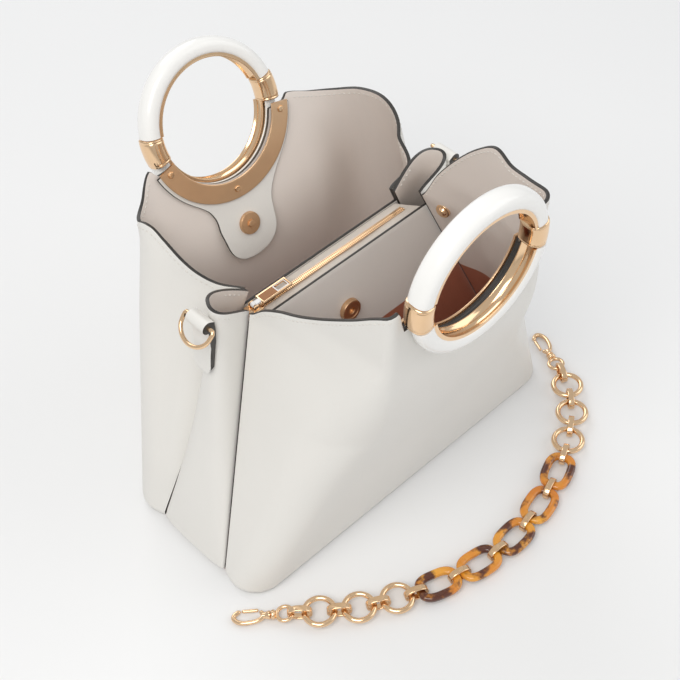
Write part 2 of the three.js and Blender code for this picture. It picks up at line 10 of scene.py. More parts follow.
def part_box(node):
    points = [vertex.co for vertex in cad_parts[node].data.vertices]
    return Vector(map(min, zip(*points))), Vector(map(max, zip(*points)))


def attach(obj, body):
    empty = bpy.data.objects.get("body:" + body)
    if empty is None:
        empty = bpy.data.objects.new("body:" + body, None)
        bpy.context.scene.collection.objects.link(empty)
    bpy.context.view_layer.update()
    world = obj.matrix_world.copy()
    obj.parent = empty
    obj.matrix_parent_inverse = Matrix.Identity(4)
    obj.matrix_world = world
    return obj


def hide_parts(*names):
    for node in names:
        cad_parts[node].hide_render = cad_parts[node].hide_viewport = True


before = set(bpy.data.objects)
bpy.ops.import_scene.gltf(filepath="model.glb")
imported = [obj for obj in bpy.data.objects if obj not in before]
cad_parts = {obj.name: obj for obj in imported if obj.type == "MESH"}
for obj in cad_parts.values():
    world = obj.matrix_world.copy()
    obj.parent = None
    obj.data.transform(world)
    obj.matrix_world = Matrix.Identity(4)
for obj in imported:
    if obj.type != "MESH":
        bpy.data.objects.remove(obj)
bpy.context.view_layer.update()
MM = 0.001
bpy.ops.object.select_all(action="DESELECT")

# Camera and studio: the photograph's view from the front left and above, through a long lens,
# slightly rolled. A pale sweep of floor, one broad soft key from the upper left and a soft fill.
CAM_AZ, CAM_EL, CAM_ROLL = -0.700, 0.834, -0.073
CAM_FAR, CAM_LENS, CAM_AIM = 953.6 * MM, 74.1, (2.1 * MM, -0.8 * MM, 100 * MM)
ahead = Vector((-math.sin(CAM_AZ) * math.cos(CAM_EL), math.cos(CAM_AZ) * math.cos(CAM_EL), -math.sin(CAM_EL)))
level = Vector((math.cos(CAM_AZ), math.sin(CAM_AZ), 0))
lift = level.cross(ahead)
side_on = level * math.cos(CAM_ROLL) + lift * math.sin(CAM_ROLL)
upright = lift * math.cos(CAM_ROLL) - level * math.sin(CAM_ROLL)
eye = Vector((0, 0, CAM_AIM[2])) + side_on * CAM_AIM[0] + upright * CAM_AIM[1] - ahead * CAM_FAR
bpy.ops.object.camera_add()
camera = bpy.context.object
camera.matrix_world = Matrix(((side_on.x, upright.x, -ahead.x, eye.x),
                              (side_on.y, upright.y, -ahead.y, eye.y),
                              (side_on.z, upright.z, -ahead.z, eye.z), (0, 0, 0, 1)))
camera.data.lens = CAM_LENS
camera.data.sensor_width = 36
bpy.context.scene.camera = camera
bpy.context.scene.view_settings.view_transform = "Standard"

world = bpy.data.worlds.new("studio")
world.use_nodes = True
world.node_tree.nodes["Background"].inputs["Color"].default_value = (0.93, 0.94, 0.95, 1)
world.node_tree.nodes["Background"].inputs["Strength"].default_value = 0.62
bpy.context.scene.world = world
for name, place, size, power, tint in (("key", (-0.9, -0.5, 1.6), 1.1, 17, (1, 0.985, 0.96)),
                                       ("fill", (1.3, -1.1, 1.1), 1.4, 7, (0.96, 0.98, 1)),
                                       ("back", (0.5, 1.5, 1.3), 1.2, 9, (1, 1, 1))):
    bpy.ops.object.light_add(type="AREA", location=place)
    lamp = bpy.context.object
    lamp.name = "light_" + name
    lamp.data.size = size
    lamp.data.energy = power
    lamp.data.color = tint
    lamp.rotation_euler = (Vector((0, 0, 0.12)) - Vector(place)).to_track_quat("-Z", "Y").to_euler()


class Socket:
    """A value in a material's tree, so that shader maths reads as an expression."""

    def __init__(self, tree, link):
        self.tree, self.link = tree, link

    def math(self, kind, other=None, swap=False):
        node = self.tree.nodes.new("ShaderNodeMath")
        node.operation = kind
        for k, value in enumerate([other, self] if swap else [self, other]):
            if isinstance(value, Socket):
                self.tree.links.new(value.link, node.inputs[k])
            elif value is not None:
                node.inputs[k].default_value = value
        return Socket(self.tree, node.outputs[0])

    def __add__(self, other):
        return self.math("ADD", other)

    def __sub__(self, other):
        return self.math("SUBTRACT", other)

    def __mul__(self, other):
        return self.math("MULTIPLY", other)

    def __rsub__(self, other):
        return self.math("SUBTRACT", other, swap=True)

    def step(self, low, high):
        node = self.tree.nodes.new("ShaderNodeMapRange")
        node.interpolation_type = "SMOOTHSTEP"
        self.tree.links.new(self.link, node.inputs["Value"])
        node.inputs["From Min"].default_value = low
        node.inputs["From Max"].default_value = high
        return Socket(self.tree, node.outputs["Result"])

    __radd__ = __add__
    __rmul__ = __mul__


class Finish:
    """A material under construction: add() makes any node, paint() feeds the shader."""

    def __init__(self, name):
        self.mat = bpy.data.materials.new(name)
        self.mat.use_nodes = True
        self.tree = self.mat.node_tree
        self.shader = self.tree.nodes["Principled BSDF"]

    def add(self, kind, out=0, settings=None, **values):
        node = self.tree.nodes.new(kind)
        for key, value in (settings or {}).items():
            setattr(node, key, value)
        for key, value in values.items():
            socket = node.inputs[key.replace("_", " ")]
            if isinstance(value, Socket):
                self.tree.links.new(value.link, socket)
            else:
                socket.default_value = value
        return Socket(self.tree, node.outputs[out])

    def place(self):
        return self.add("ShaderNodeTexCoord", "Object")

    def noise(self, scale, detail=3, stretch=None):
        where = self.place()
        if stretch:
            where = self.add("ShaderNodeVectorMath", 0, {"operation": "MULTIPLY"}, Vector=where)
            where.link.node.inputs[1].default_value = stretch
        return self.add("ShaderNodeTexNoise", "Fac", Vector=where, Scale=scale, Detail=detail)

    def cells(self, scale):
        return self.add("ShaderNodeTexVoronoi", "Distance", Vector=self.place(), Scale=scale)

    def mix(self, share, a, b):
        node = self.tree.nodes.new("ShaderNodeMix")
        node.data_type = "RGBA"
        for socket, value in ((node.inputs[0], share), (node.inputs[6], a), (node.inputs[7], b)):
            if isinstance(value, Socket):
                self.tree.links.new(value.link, socket)
            else:
                socket.default_value = (*value, 1) if isinstance(value, tuple) else value
        return Socket(self.tree, node.outputs[2])

    def bump(self, height, distance, strength=1.0):
        normal = self.add("ShaderNodeBump", 0, Height=height, Distance=distance, Strength=strength)
        self.tree.links.new(normal.link, self.shader.inputs["Normal"])

    def paint(self, **values):
        for key, value in values.items():
            socket = self.shader.inputs[key.replace("_", " ")]
            if isinstance(value, Socket):
                self.tree.links.new(value.link, socket)
            else:
                socket.default_value = (*value, 1) if isinstance(value, tuple) and len(value) == 3 else value
        return self.mat


floor_finish = Finish("studio_floor")
floor_finish.paint(Base_Color=(0.80, 0.80, 0.80), Roughness=0.9)
bpy.ops.mesh.primitive_plane_add(size=30, location=(0, 0, 0))
floor = bpy.context.object
floor.name = "studio_floor"
floor.data.materials.append(floor_finish.mat)

# Leather walls: front and back panels of smooth off-white leather, each cut from one sheet, wrapped round
# the corners to the side seams, turned under at the base and cut out round the hand holes. The edges are
# painted charcoal; the front sheet is faced inside with beige leather above the satin lining, the back sheet
# with beige leather throughout.
L, D, H, WALL = 290 * MM, 130 * MM, 185 * MM, 2.4 * MM
RING_MID = L * 0.1605
CUT_R, PLATE_R, FLAT = RING_MID * 0.92, RING_MID * 1.197, RING_MID * 1.25
CUFF = 0.19
SEAM_Z, SEAM_LOW, CORNER_LOW = H * 1.025, (L * 0.49, D * 0.262), L * 0.066
SEAM_TOP = {"front": (L * 0.256, L * 0.0317), "back": (L * 0.218, L * 0.0317)}
PANELS = {
    "front": {"s": -1, "y": D * 0.93, "z": H * 1.376, "lean": 0.071, "corner": (L * 0.256, L * 0.27),
              "round": (L * 0.13, L * 0.124), "bow": (0, L * 0.017),
              "edge": ((1.408, 1.363, 1.299, 1.241, 1.193, 1.154, 1.127, 1.087, 1.025),
                       (1.42, 1.42, 1.41, 1.4, 1.42, 1.36, 1.27, 1.16, 1.025))},
    "back": {"s": 1, "y": D * 0.823, "z": H * 1.25, "lean": 0.356, "corner": (L * 0.315, L * 0.39),
             "round": (L * 0.097, L * 0.126), "bow": (L * 0.0135, L * 0.0295),
             "edge": ((1.21, 1.14, 1.13, 1.155, 1.125, 1.09, 1.058, 1.03, 1.025),
                      (1.198, 1.156, 1.133, 1.139, 1.142, 1.118, 1.087, 1.048, 1.025))},
}
TURN_IN, FOOT = 5 * MM, 1.3 * MM


def lerp(a, b, t):
    return a + (b - a) * t


def ease(t):
    t = min(1, max(0, t))
    return t * t * (3 - 2 * t)


def along(values, t):
    """Smooth curve through evenly spaced values, read at share t."""
    k = min(len(values) - 1.000001, max(0, t * (len(values) - 1)))
    i = int(k)
    a, b, c, d = [values[min(len(values) - 1, max(0, i + j))] for j in (-1, 0, 1, 2)]
    u = k - i
    return b + u / 2 * (c - a + u * (2 * a - 5 * b + 4 * c - d + u * (3 * b - a - 3 * c + d)))


def seam(side, z):
    t = min(z / SEAM_Z, 1)
    return [lerp(low, top, t) for low, top in zip(SEAM_LOW, SEAM_TOP[side])]


def panel_y(side, near, z):
    q = PANELS[side]
    slope = (q["y"] - D / 2) / q["z"]
    flat, k = q["z"] - RING_MID * 1.3, math.tan(q["lean"]) - slope
    if z >= flat:
        bend = (z - q["z"]) * k
    else:
        low = flat * 0.35
        u = max(0, (z - low) / (flat - low))
        bend = u * u * (3 - 2 * u) * (flat - q["z"]) * k + u * u * (u - 1) * (flat - low) * k
    return D / 2 + slope * z + bend * near


def wing(side, hand, z):
    """Points of the half section at height z, from beside the ring round the corner to the seam."""
    q = PANELS[side]
    t = z / H
    yc = D / 2 + (q["y"] - D / 2) / q["z"] * z
    xc = lerp(L / 2, q["corner"][hand], min(t, 1.15))
    r = min(lerp(CORNER_LOW, q["round"][hand], min(t, 1.2)), xc - FLAT - MM)
    xs, ys = seam(side, z)
    cx, cy = xc - r, yc - r
    dx, dy = xs - cx, ys - cy
    end = math.atan2(dy, dx) + math.acos(min(1, r / math.hypot(dx, dy)))
    pts = [(lerp(FLAT, cx, k / 8), yc) for k in range(8)]
    pts += [(cx + r * math.cos(a), cy + r * math.sin(a)) for a in np.linspace(math.pi / 2, end, 25)]
    ex, ey = pts[-1]
    length = math.hypot(ys - ey, ex - xs)
    wx, wy = (ys - ey) / length, (ex - xs) / length
    for k in range(1, 17):
        u = k / 16
        b = -q["bow"][hand] * min(t, 1.1) * 16 * (u * (1 - u)) ** 2
        pts.append((lerp(ex, xs, u) + wx * b, lerp(ey, ys, u) + wy * b))
    return np.array(pts)


def wing_point(side, hand, share, z):
    pts = wing(side, hand, z)
    run = np.r_[0, np.cumsum(np.hypot(*np.diff(pts, axis=0).T))]
    x, y = (np.interp(share * run[-1], run, pts[:, k]) for k in (0, 1))
    return x, y + panel_y(side, 1 - ease(share * 2.5), z) - panel_y(side, 0, z)


def turned_under(x, y, z):
    """Draws a point of a wall inwards where the sheet turns under the base."""
    inset = TURN_IN * (1 - math.sqrt(max(0, 1 - max(0, 1 - (z - FOOT) / TURN_IN) ** 2)))
    return x * (1 - inset / (L / 2)), y * (1 - inset / (D / 2)), z


CUT_COLS, WING_COLS = 22, 60
PANEL_ROWS = list(np.linspace(0, 0.025, 5)) + list(np.linspace(0.05, 1, 50))


def columns_of(side):
    """Each column from left to right: its side, its top height and a function of height giving x and y."""
    q = PANELS[side]
    cuff_z = q["z"] - PLATE_R * math.sin(CUFF + 0.04)
    halves = []
    for hand in (0, 1):
        cols = []
        for a in np.linspace(0, math.pi / 2, CUT_COLS):
            x = CUT_R * math.sin(a)
            top = q["z"] - math.sqrt(max(0, CUT_R ** 2 - x * x)) * math.cos(q["lean"])
            cols.append((min(top, cuff_z), lambda z, x=x: (x, panel_y(side, 1, z))))
        for k in (0.35, 0.68, 0.82, 0.9):
            rise = lerp(cuff_z, q["edge"][hand][0] * H, ease((k - 0.68) / 0.3))
            cols.append((rise, lambda z, x=lerp(CUT_R, FLAT, k): (x, panel_y(side, 1, z))))
        for share in np.linspace(0, 1, WING_COLS):
            edge = along(q["edge"][hand], share) * H
            cols.append((edge, lambda z, s=share, h=hand: wing_point(side, h, s, z)))
        halves.append(cols)
    return [(-1, *c) for c in reversed(halves[0])] + [(1, *c) for c in halves[1][1:]]


def loft(name, cols, rows, point, wrap=False):
    """A grid primitive of cols by rows points, each moved to point(column, row), its closed ends merged."""
    bpy.ops.object.select_all(action="DESELECT")
    bpy.ops.mesh.primitive_grid_add(x_subdivisions=cols - 1, y_subdivisions=rows - 1, size=2)
    obj = bpy.context.object
    obj.name = name
    co = np.empty(len(obj.data.vertices) * 3)
    obj.data.vertices.foreach_get("co", co)
    co = co.reshape(-1, 3)
    col = np.rint((co[:, 0] + 1) / 2 * (cols - 1)).astype(int)
    row = np.rint((co[:, 1] + 1) / 2 * (rows - 1)).astype(int)
    obj.data.vertices.foreach_set("co", np.array([point(c, r) for c, r in zip(col, row)]).ravel())
    obj.data.update()
    if wrap:
        mend(obj)
    return obj


def mend(obj):
    """Merges doubles and turns the faces of a closed piece outwards."""
    only(obj)
    bpy.ops.object.mode_set(mode="EDIT")
    bpy.ops.mesh.select_all(action="SELECT")
    bpy.ops.mesh.remove_doubles(threshold=0.00001)
    bpy.ops.mesh.normals_make_consistent(inside=False)
    bpy.ops.object.mode_set(mode="OBJECT")


def only(obj):
    bpy.ops.object.select_all(action="DESELECT")
    obj.select_set(True)
    bpy.context.view_layer.objects.active = obj


def modify(obj, kind, **settings):
    only(obj)
    mod = obj.modifiers.new(kind.lower(), kind)
    for key, value in settings.items():
        setattr(mod, key, value)
    bpy.ops.object.modifier_apply(modifier=mod.name)
    return obj


def settle(obj, name, finishes, slot, body="bag", nodes=(), smooth=40):
    """Bakes a piece's place into its mesh, gives it its finishes and hands it to the frame."""
    only(obj)
    bpy.ops.object.transform_apply(location=True, rotation=True, scale=True)
    obj.name = obj.data.name = name
    for finish in finishes:
        obj.data.materials.append(finish)
    if smooth:
        bpy.ops.object.shade_smooth_by_angle(angle=math.radians(smooth))
    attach(obj, body)
    if nodes:
        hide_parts(*nodes)
    return obj


def leather_finish(name, tint, lining=None):
    """Fine pebbled leather; with a lining, satin weave takes over below the facing's lower seam."""
    f = Finish(name)
    fine, pores = f.noise(900, 2), f.cells(1500)
    base = f.mix(f.noise(9, 2).step(0.35, 0.7), tint, tuple(c * 0.965 for c in tint))
    colour = f.mix(fine.step(0.55, 0.8) * 0.35, base, tuple(c * 0.93 for c in tint))
    grain = pores * 0.7 + fine * 0.5 + f.noise(60, 3) * 1.2
    rough = fine * 0.12 + 0.42
    if lining:
        height = f.add("ShaderNodeSeparateXYZ", "Z", Vector=f.place())
        below = (LINING_Z - height).step(-0.0004, 0.0004)
        weave = f.noise(2600, 1, stretch=(1, 1, 0.25))
        colour = f.mix(below, colour, f.mix(weave, lining, tuple(c * 1.3 for c in lining)))
        grain = grain + weave * 0.6
        rough = rough - below * 0.1
    f.bump(grain, 0.00005, 0.5)
    return f.paint(Base_Color=colour, Roughness=rough, Coat_Weight=0.04, Coat_Roughness=0.35)


OFF_WHITE, BEIGE, LINING = (0.76, 0.74, 0.70), (0.76, 0.69, 0.635), (0.36, 0.135, 0.085)
LINING_Z = H * 0.62
leather = leather_finish("leather_off_white", OFF_WHITE)
facing = leather_finish("leather_facing_and_lining", BEIGE, LINING)
ink_finish = Finish("painted_edge")
ink_finish.bump(ink_finish.noise(700, 2), 0.0001, 0.6)
ink_tone = ink_finish.mix(ink_finish.noise(300, 2), (0.02, 0.018, 0.017), (0.05, 0.045, 0.04))
ink = ink_finish.paint(Base_Color=ink_tone, Roughness=0.42)


def skin(obj, name, nodes, finishes=(leather, facing, ink), thick=WALL, bevel=0.6 * MM):
    """Gives a lofted sheet its wall: outer face, inner face and painted rim each in their own finish."""
    obj.data.materials.clear()
    for finish in finishes:
        obj.data.materials.append(finish)
    modify(obj, "SOLIDIFY", thickness=thick, offset=0, use_even_offset=False, material_offset=1,
           material_offset_rim=2, use_rim=True)
    if bevel:
        modify(obj, "BEVEL", width=bevel, segments=3, limit_method="ANGLE",
               angle_limit=math.radians(55), material=2)
    return settle(obj, name, [], "leather", nodes=nodes, smooth=50)


for side in PANELS:
    q = PANELS[side]
    columns = columns_of(side)
    grids = []
    for hand, top, xy in columns:
        heights = [lerp(FOOT, top, k) for k in PANEL_ROWS]
        places = [turned_under(hand * xy(z)[0], q["s"] * xy(z)[1], z) for z in heights]
        grids.append(places)
    if q["s"] > 0:
        grids.reverse()
    sheet = loft(f"{side}_wall", len(grids), len(PANEL_ROWS), lambda c, r: grids[c][r])
    lined = facing if side == "front" else leather_finish("leather_back_facing", BEIGE)
    skin(sheet, f"{side}_wall", [f"{side}_panel"], (leather, lined, ink))

# Gussets: the side walls, folded outwards so that they swell to an open leaf-shaped mouth at the top.
LEAF, RIDGE_LOW = (L * 0.099, H * 1.124, L * 0.0103), 2.5 * MM
GUSSET_COLS, GUSSET_ROWS = 61, 48


def gusset_point(a, z):
    t = z / SEAM_Z
    (xf, ys), xb = seam("front", z), seam("back", z)[0]
    reach = lerp(RIDGE_LOW, LEAF[0], min(t, 1) ** 1.15)
    c = max(0, math.cos(a)) ** 0.8
    s = math.copysign(abs(math.sin(a)) ** 0.8, a)
    y = (ys - WALL / 2 - 1.5 * MM) * s + LEAF[2] * t * t * math.sin(2 * a)
    return lerp(xf, xb, (s + 1) / 2) + reach * c, y


def leaf_top(a):
    return lerp(SEAM_Z, LEAF[1], max(0, math.cos(a)) ** 0.7)


for name, hand in (("left", -1), ("right", 1)):
    def fold(c, r):
        share = c / (GUSSET_COLS - 1)
        a = lerp(-math.pi / 2, math.pi / 2, 1 - share if hand < 0 else share)
        z = lerp(FOOT, leaf_top(a), r / (GUSSET_ROWS - 1))
        x, y = gusset_point(a, z)
        return turned_under(hand * x, y, z)
    skin(loft(f"side_{name}", GUSSET_COLS, GUSSET_ROWS, fold), f"side_{name}", [f"gusset_{name}"])

# Base: one flat sheet of the same leather across the bottom, its outline the walls' own at the floor.
BASE_COLS, BASE_ROWS = 61, 12
edges = {}
for side in PANELS:
    outline = []
    for hand, _, xy in columns_of(side):
        x, y = xy(FOOT)
        outline.append(turned_under(hand * x, PANELS[side]["s"] * y, FOOT)[:2])
    outline = np.array(outline)
    run = np.r_[0, np.cumsum(np.hypot(*np.diff(outline, axis=0).T))]
    marks = np.linspace(0, run[-1], BASE_COLS)
    edges[side] = np.c_[np.interp(marks, run, outline[:, 0]), np.interp(marks, run, outline[:, 1])]


def base_point(c, r):
    x, y = lerp(edges["front"][c], edges["back"][c], r / (BASE_ROWS - 1))
    return x, y, FOOT


skin(loft("base_sheet", BASE_COLS, BASE_ROWS, base_point), "base_sheet", ["base_panel"],
     (leather, facing, leather), bevel=0)

# Stitching: waxed off-white thread, one row of short stitches 4 mm in from the wings' painted top edges, on
# the walls' outer and inner faces, and round the gussets' mouths.
STITCH, PITCH, INSET = (2.3 * MM, 0.42 * MM), 3.6 * MM, 4 * MM
thread = Finish("thread")
thread.bump(thread.noise(3500, 1), 0.0001, 0.7)
thread_tone = thread.mix(thread.noise(1200, 1), (0.62, 0.59, 0.54), (0.78, 0.75, 0.70))
thread.paint(Base_Color=thread_tone, Roughness=0.75)


def stitches(name, surface, lift_by):
    """A row of stitches along surface(k), k from 0 to 1, which gives a point and the face's normal."""
    line = [surface(k) for k in np.linspace(0, 1, 400)]
    pts, normals = (np.array([list(item[k]) for item in line]) for k in (0, 1))
    run = np.r_[0, np.cumsum(np.linalg.norm(np.diff(pts, axis=0), axis=1))]
    bpy.ops.object.select_all(action="DESELECT")
    bpy.ops.mesh.primitive_uv_sphere_add(segments=6, ring_count=4, radius=1)
    one = bpy.context.object
    shape = np.array([v.co for v in one.data.vertices])
    faces = [tuple(f.vertices) for f in one.data.polygons]
    verts, polys = [], []
    for d in np.arange(PITCH, run[-1] - PITCH / 2, PITCH):
        a, b = [np.array([np.interp(d + e, run, pts[:, k]) for k in range(3)])
                for e in (-PITCH / 3, PITCH / 3)]
        n = np.array([np.interp(d, run, normals[:, k]) for k in range(3)])
        n /= np.linalg.norm(n)
        t = (b - a) / np.linalg.norm(b - a)
        frame3 = np.array([t * STITCH[0] / 2, np.cross(n, t) * STITCH[1], n * STITCH[1]])
        polys += [tuple(v + len(verts) for v in f) for f in faces]
        verts += [tuple(v) for v in shape @ frame3 + (a + b) / 2 + n * lift_by]
    one.data.clear_geometry()
    one.data.from_pydata(verts, [], polys)
    return settle(one, name, [thread.mat], "leather", smooth=80)


def surface_normal(f, u, z):
    """Point and unit normal of the sheet f(u, z)."""
    p, du, dz = (np.array(f(a, b)) for a, b in ((u, z), (min(u + 0.004, 1), z), (u, z - 0.002)))
    if u > 0.995:
        du = 2 * p - np.array(f(u - 0.004, z))
    n = np.cross(du - p, p - dz)
    return p, n / np.linalg.norm(n)


for side in PANELS:
    q = PANELS[side]
    for hand, sx in ((0, -1), (1, 1)):
        def on_wall(u, z):
            x, y = wing_point(side, hand, u, z)
            return sx * x, q["s"] * y, z
        for face, way in (("out", 1), ("in", -1)):
            def row(k, way=way):
                u = lerp(0.01, 0.985, k)
                p, n = surface_normal(on_wall, u, along(q["edge"][hand], u) * H - INSET)
                outward = np.array([p[0] * 0.3, q["s"] * 0.2, 0])
                return p, n * way * (1 if n @ outward > 0 else -1)
            stitches(f"stitch_{side}_{sx}_{face}", row, WALL / 2)
for name, hand in (("left", -1), ("right", 1)):
    def on_leaf(u, z):
        x, y = gusset_point(lerp(-math.pi / 2, math.pi / 2, u), z)
        return hand * x, y, z
    def leaf_row(k):
        u = lerp(0.03, 0.97, k)
        p, n = surface_normal(on_leaf, u, leaf_top(lerp(-math.pi / 2, math.pi / 2, u)) - INSET)
        return p, n * (1 if n @ np.array([hand * 0.3, p[1], 0]) > 0 else -1)
    stitches(f"stitch_gusset_{name}", leaf_row, WALL / 2)

# Centre pocket: two leather walls joined at the bottom, faced in white above the lining, edges painted.
POCKET_WALL, POCKET_LOW, POCKET_TOP = 1.8 * MM, H * 0.24, H * 0.965
POCKET_COLS, POCKET_ROWS = 24, 61


def wall_y(z):
    return seam("front", z)[1] - WALL / 2 - POCKET_WALL / 2


def pocket_point(c, r):
    t = r / (POCKET_ROWS - 1) * 2 - 1
    rise = max(0, abs(t) - 0.08) / 0.92
    f = math.copysign(min(1, abs(t) / 0.08), t)
    z = lerp(POCKET_LOW, POCKET_TOP, rise) - MM * (1 - abs(f))
    half = lerp(seam("front", z)[0], seam("back", z)[0], (f + 1) / 2) - 0.6 * MM
    return (c / (POCKET_COLS - 1) * 2 - 1) * half, f * wall_y(z), z


pocket_white = leather_finish("pocket_facing", (0.78, 0.76, 0.73), LINING)
skin(loft("centre_pocket", POCKET_COLS, POCKET_ROWS, pocket_point), "centre_pocket", ["pocket"],
     (pocket_white, pocket_white, ink), POCKET_WALL, 0.4 * MM)

# Zip: a tape of cream cloth between the pocket's walls, metal teeth along its middle, their end hanging in
# the left gusset's mouth, and a slider with a flat pull that has a window and a matt inlaid face.
TAPE, TAPE_Z = 1.2 * MM, POCKET_TOP - 2.2 * MM
TAPE_HALF = wall_y(POCKET_TOP) - POCKET_WALL / 2 - 0.3 * MM
TOOTH, TOOTH_PITCH = (0.85 * MM, 2.5 * MM, 1.3 * MM), 1.35 * MM
SLIDER = (-L * 0.224, 0, TAPE_Z + TAPE / 2 + 1.5 * MM)
PIVOT_Z = SLIDER[2] + 4.5 * MM


def metal(name, colour, rough, brushed=None):
    """Plated metal, its gloss finely worn; brushed is the stretch of its brush lines."""
    f = Finish(name)
    wear = f.noise(180, 4)
    tone = f.mix(f.noise(45, 2).step(0.3, 0.8), colour, tuple(c * 0.93 for c in colour))
    lines = f.noise(1400, 2, stretch=brushed) if brushed else f.noise(2500, 1)
    f.bump(lines, 0.00003, 0.35 if brushed else 0.05)
    gloss = wear * 0.03 + (rough + lines * (0.12 if brushed else 0))
    return f.paint(Base_Color=tone, Metallic=1.0, Roughness=gloss)


gold = metal("polished_gold", (0.90, 0.63, 0.39), 0.13)
brushed_gold = metal("brushed_gold", (0.84, 0.57, 0.35), 0.27, brushed=(1, 0.08, 0.08))
matt_gold = metal("matt_gold", (0.76, 0.49, 0.29), 0.34)
inlay = metal("matt_brown_inlay", (0.33, 0.17, 0.09), 0.4)
tape_finish = Finish("zip_tape")
rib = tape_finish.noise(1500, 1, stretch=(0.3, 1, 1))
tape_finish.bump(rib, 0.0002, 0.6)
tape_tone = tape_finish.mix(rib, (0.50, 0.44, 0.38), (0.66, 0.60, 0.54))
tape_cloth = tape_finish.paint(Base_Color=tape_tone, Roughness=0.85)


def strew(obj, places):
    """Turns a small shape into many copies of itself, one for each 3 by 3 frame and origin."""
    shape = np.array([v.co for v in obj.data.vertices])
    faces = [tuple(f.vertices) for f in obj.data.polygons]
    verts, polys = [], []
    for axes, origin in places:
        polys += [tuple(v + len(verts) for v in f) for f in faces]
        verts += [tuple(v) for v in shape @ axes + origin]
    obj.data.clear_geometry()
    obj.data.from_pydata(verts, [], polys)
    return obj


def block(name, size, place=(0, 0, 0), round_by=0.3 * MM, segments=3):
    """A cube primitive scaled to size, its edges rounded."""
    bpy.ops.object.select_all(action="DESELECT")
    bpy.ops.mesh.primitive_cube_add(size=1, location=place)
    obj = bpy.context.object
    obj.name = name
    obj.scale = size
    bpy.ops.object.transform_apply(location=True, rotation=True, scale=True)
    return modify(obj, "BEVEL", width=round_by, segments=segments)


def join(*objs):
    only(objs[0])
    for obj in objs[1:]:
        obj.select_set(True)
    bpy.ops.object.join()
    return objs[0]


def tape_point(c, r):
    f = r / 15 * 2 - 1
    half = lerp(seam("front", POCKET_TOP)[0], seam("back", POCKET_TOP)[0], (f + 1) / 2) - 3 * MM
    k = c / 47 * 2 - 1
    sag = 0.5 * MM * (1 - k * k) * (1 - abs(f)) * 2
    return k * half, f * TAPE_HALF, TAPE_Z - sag + 0.35 * MM * math.cos(k * 9) * (1 - abs(f))


zip_from = -seam("front", POCKET_TOP)[0] + 2 * MM
tape_sheet = loft("zip_tape", 48, 16, tape_point)
modify(tape_sheet, "SOLIDIFY", thickness=TAPE, offset=0)
tail = block("tail", (18 * MM, 6 * MM, TAPE), (zip_from - 3 * MM, 0, TAPE_Z), 0.5 * MM)
settle(join(tape_sheet, tail), "zip_tape", [tape_cloth], "tape", nodes=["zip"])
zip_to = seam("back", POCKET_TOP)[0] - 3 * MM
tooth = block("zip_teeth", TOOTH, round_by=0.2 * MM, segments=1)
places = []
for k, x in enumerate(np.arange(zip_from - 5 * MM, zip_to, TOOTH_PITCH / 2)):
    places.append((np.eye(3), np.array([x, (0.85 if k % 2 else -0.85) * MM, TAPE_Z + 1.05 * MM])))
settle(strew(tooth, places), "zip_teeth", [gold], "gold")

body = block("slider", (10 * MM, 9 * MM, 2 * MM), (SLIDER[0], 0, SLIDER[2] + MM), 0.7 * MM, 4)
ears = [block("ear", (4 * MM, 1.2 * MM, 4 * MM), (SLIDER[0], y * MM, SLIDER[2] + 3.2 * MM), 0.45 * MM)
        for y in (2.7, -2.7)]
bpy.ops.mesh.primitive_cylinder_add(vertices=24, radius=0.7 * MM, depth=5.4 * MM,
                                    rotation=(math.pi / 2, 0, 0), location=(SLIDER[0], 0, PIVOT_Z))
pin = modify(bpy.context.object, "BEVEL", width=0.15 * MM, segments=2, limit_method="ANGLE")
settle(join(body, *ears, pin), "zip_slider", [gold], "gold", nodes=["zip_slider"])

PULL_LEN, PULL_W, PULL_T, WINDOW = 24 * MM, 8.5 * MM, 1.6 * MM, (8 * MM, 4.5 * MM, 22.5 * MM)
bar = block("zip_pull", (PULL_LEN, PULL_W, PULL_T), (SLIDER[0] + 17 * MM, 0, PIVOT_Z), 0.35 * MM, 3)
bpy.ops.object.mode_set(mode="EDIT")
bpy.ops.mesh.select_mode(type="FACE")
bpy.ops.mesh.select_all(action="DESELECT")
bpy.ops.object.mode_set(mode="OBJECT")
for face in bar.data.polygons:
    face.select = abs(face.normal.z) > 0.99
bpy.ops.object.mode_set(mode="EDIT")
bpy.ops.mesh.inset(thickness=0.75 * MM, depth=0)
bpy.ops.mesh.inset(thickness=0.08 * MM, depth=-0.18 * MM)
bpy.ops.object.mode_set(mode="OBJECT")
bar.data.materials.append(gold)
bar.data.materials.append(inlay)
for face in bar.data.polygons:
    face.material_index = 1 if face.select else 0
window_at = (SLIDER[0] + WINDOW[2], 0, PIVOT_Z)
rim_out = block("window_rim", (WINDOW[0] + 1.5 * MM, WINDOW[1] + 1.2 * MM, PULL_T), window_at)
bar = join(bar, rim_out)
cutter = block("window", (WINDOW[0], WINDOW[1], 6 * MM), window_at, 0.6 * MM)
modify(bar, "BOOLEAN", operation="DIFFERENCE", object=cutter, solver="EXACT", use_self=True)
bpy.data.objects.remove(cutter)
neck = block("neck", (5 * MM, 3.4 * MM, PULL_T), (SLIDER[0] + 3 * MM, 0, PIVOT_Z), 0.4 * MM)
bpy.ops.object.select_all(action="DESELECT")
bpy.ops.mesh.primitive_torus_add(major_segments=32, minor_segments=12,
                                 major_radius=1.25 * MM, minor_radius=0.55 * MM,
                                 rotation=(math.pi / 2, 0, 0), location=(SLIDER[0], 0, PIVOT_Z))
loop = bpy.context.object
loop.scale.z = 3
settle(join(bar, neck, loop), "zip_pull", [], "gold", "pull", ["zip_pull"], smooth=35)

